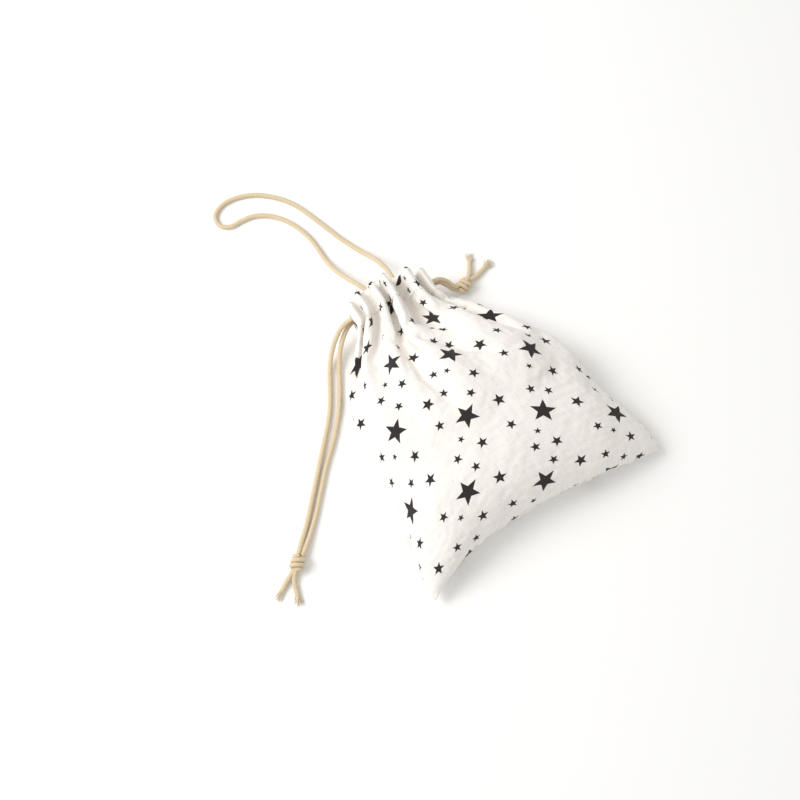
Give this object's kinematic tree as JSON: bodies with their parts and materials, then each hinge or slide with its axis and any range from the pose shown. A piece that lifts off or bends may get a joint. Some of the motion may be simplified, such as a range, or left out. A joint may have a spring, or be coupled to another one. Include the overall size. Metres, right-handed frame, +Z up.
{
  "type": "fabric gift sack",
  "caption": "Filled cotton gift sack with a star print, its gathered mouth drawn shut by two knotted cords that run through a folded casing.",
  "frame": {"origin": "on the surface the sack lies on, under the middle of the sack's footprint without its free cords", "axes": "+Y from the bottom seam to the gathered mouth, +X to the right seen from above with the mouth away, +Z up from the surface through the front panel"},
  "size_m": [0.2598, 0.3161, 0.0518],
  "materials": {
    "printed_cotton": "unbleached plain-woven cotton printed with charcoal five-pointed stars",
    "sewing_thread": "undyed spun sewing thread",
    "cotton_cord": "cream braided cotton cord with frayed ends"
  },
  "bodies": {
    "sack": {"front_panel": "printed_cotton", "back_panel": "printed_cotton", "front_casing": "printed_cotton", "back_casing": "printed_cotton", "left_side_seam": "printed_cotton", "right_side_seam": "printed_cotton", "bottom_seam": "printed_cotton", "left_overlock": "sewing_thread", "right_overlock": "sewing_thread", "bottom_overlock": "sewing_thread", "front_casing_stitching": "sewing_thread", "back_casing_stitching": "sewing_thread", "left_bar_tack": "sewing_thread", "right_bar_tack": "sewing_thread"},
    "left_drawstring": {"left_cord_casing_run": "cotton_cord", "left_cord_front_strand": "cotton_cord", "left_cord_back_strand": "cotton_cord", "left_cord_knot": "cotton_cord", "left_cord_tails": "cotton_cord"},
    "right_drawstring": {"right_cord_front_run": "cotton_cord", "right_cord_back_run": "cotton_cord", "right_cord_front_strand": "cotton_cord", "right_cord_back_strand": "cotton_cord", "right_cord_knot": "cotton_cord", "right_cord_tails": "cotton_cord"},
    "loop_of_right_drawstring": {"drawstring_loop": "cotton_cord"}
  },
  "joints": [
    {"name": "left_pull", "type": "slide", "parent": "sack", "child": "left_drawstring", "axis": [-1, 0, 0], "range_m": [0, 0.008]},
    {"name": "right_pull", "type": "slide", "parent": "sack", "child": "right_drawstring", "axis": [1, 0, 0], "range_m": [0, 0.008]},
    {"name": "loop_take_up", "type": "slide", "parent": "sack", "child": "loop_of_right_drawstring", "axis": [0, -1, 0], "range_m": [0, 0.008]}
  ],
  "couplings": [
    {"joint": "loop_take_up", "follows": "right_pull", "ratio": 1}
  ]
}
